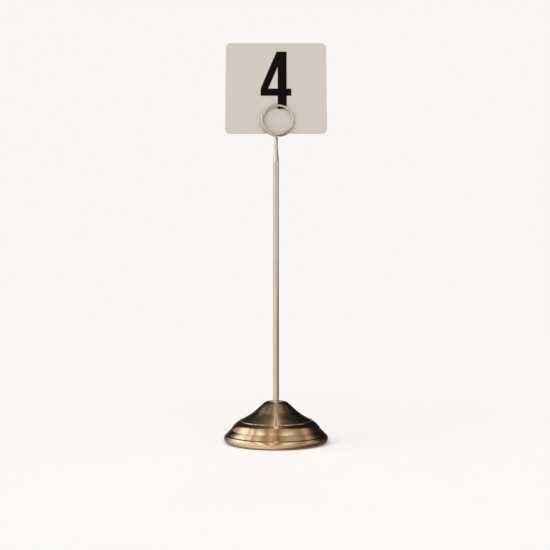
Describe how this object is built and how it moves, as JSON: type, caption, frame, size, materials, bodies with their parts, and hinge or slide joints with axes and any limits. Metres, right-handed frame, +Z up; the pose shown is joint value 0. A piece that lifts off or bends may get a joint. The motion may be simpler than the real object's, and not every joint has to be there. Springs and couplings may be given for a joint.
{
  "type": "table number holder",
  "caption": "Weighted round foot with a thin upright stem whose coiled wire clip pinches a leaning number card.",
  "frame": {"origin": "on the table, on the stem's axis, under the middle of the foot", "axes": "+Z up along the stem; -Y towards the reader of the card; +X to the reader's right"},
  "size_m": [0.0936, 0.0936, 0.3647],
  "materials": {
    "foot_brass": "polished, lacquered",
    "stem_brass": "polished, lacquered",
    "wire_brass": "pale plated spring wire, polished",
    "weight_iron": "as cast, black",
    "felt": "pressed felt",
    "zinc_steel": "zinc plated",
    "card_plastic": "moulded, satin",
    "numeral_vinyl": "matt black vinyl"
  },
  "bodies": {
    "stand": {"foot_shell": "foot_brass", "foot_weight": "weight_iron", "felt_pad": "felt", "flat_washer": "zinc_steel", "lock_washer": "zinc_steel", "hex_nut": "zinc_steel", "threaded_stud": "zinc_steel", "stem_tube": "stem_brass", "wire_clip": "wire_brass"},
    "card": {"number_card": "card_plastic", "front_numeral": "numeral_vinyl", "back_numeral": "numeral_vinyl"}
  },
  "joints": [
    {"name": "card_lift", "type": "slide", "parent": "stand", "child": "card", "axis": [0, 0.1908, 0.9816], "range_m": [0, 0.028]}
  ]
}
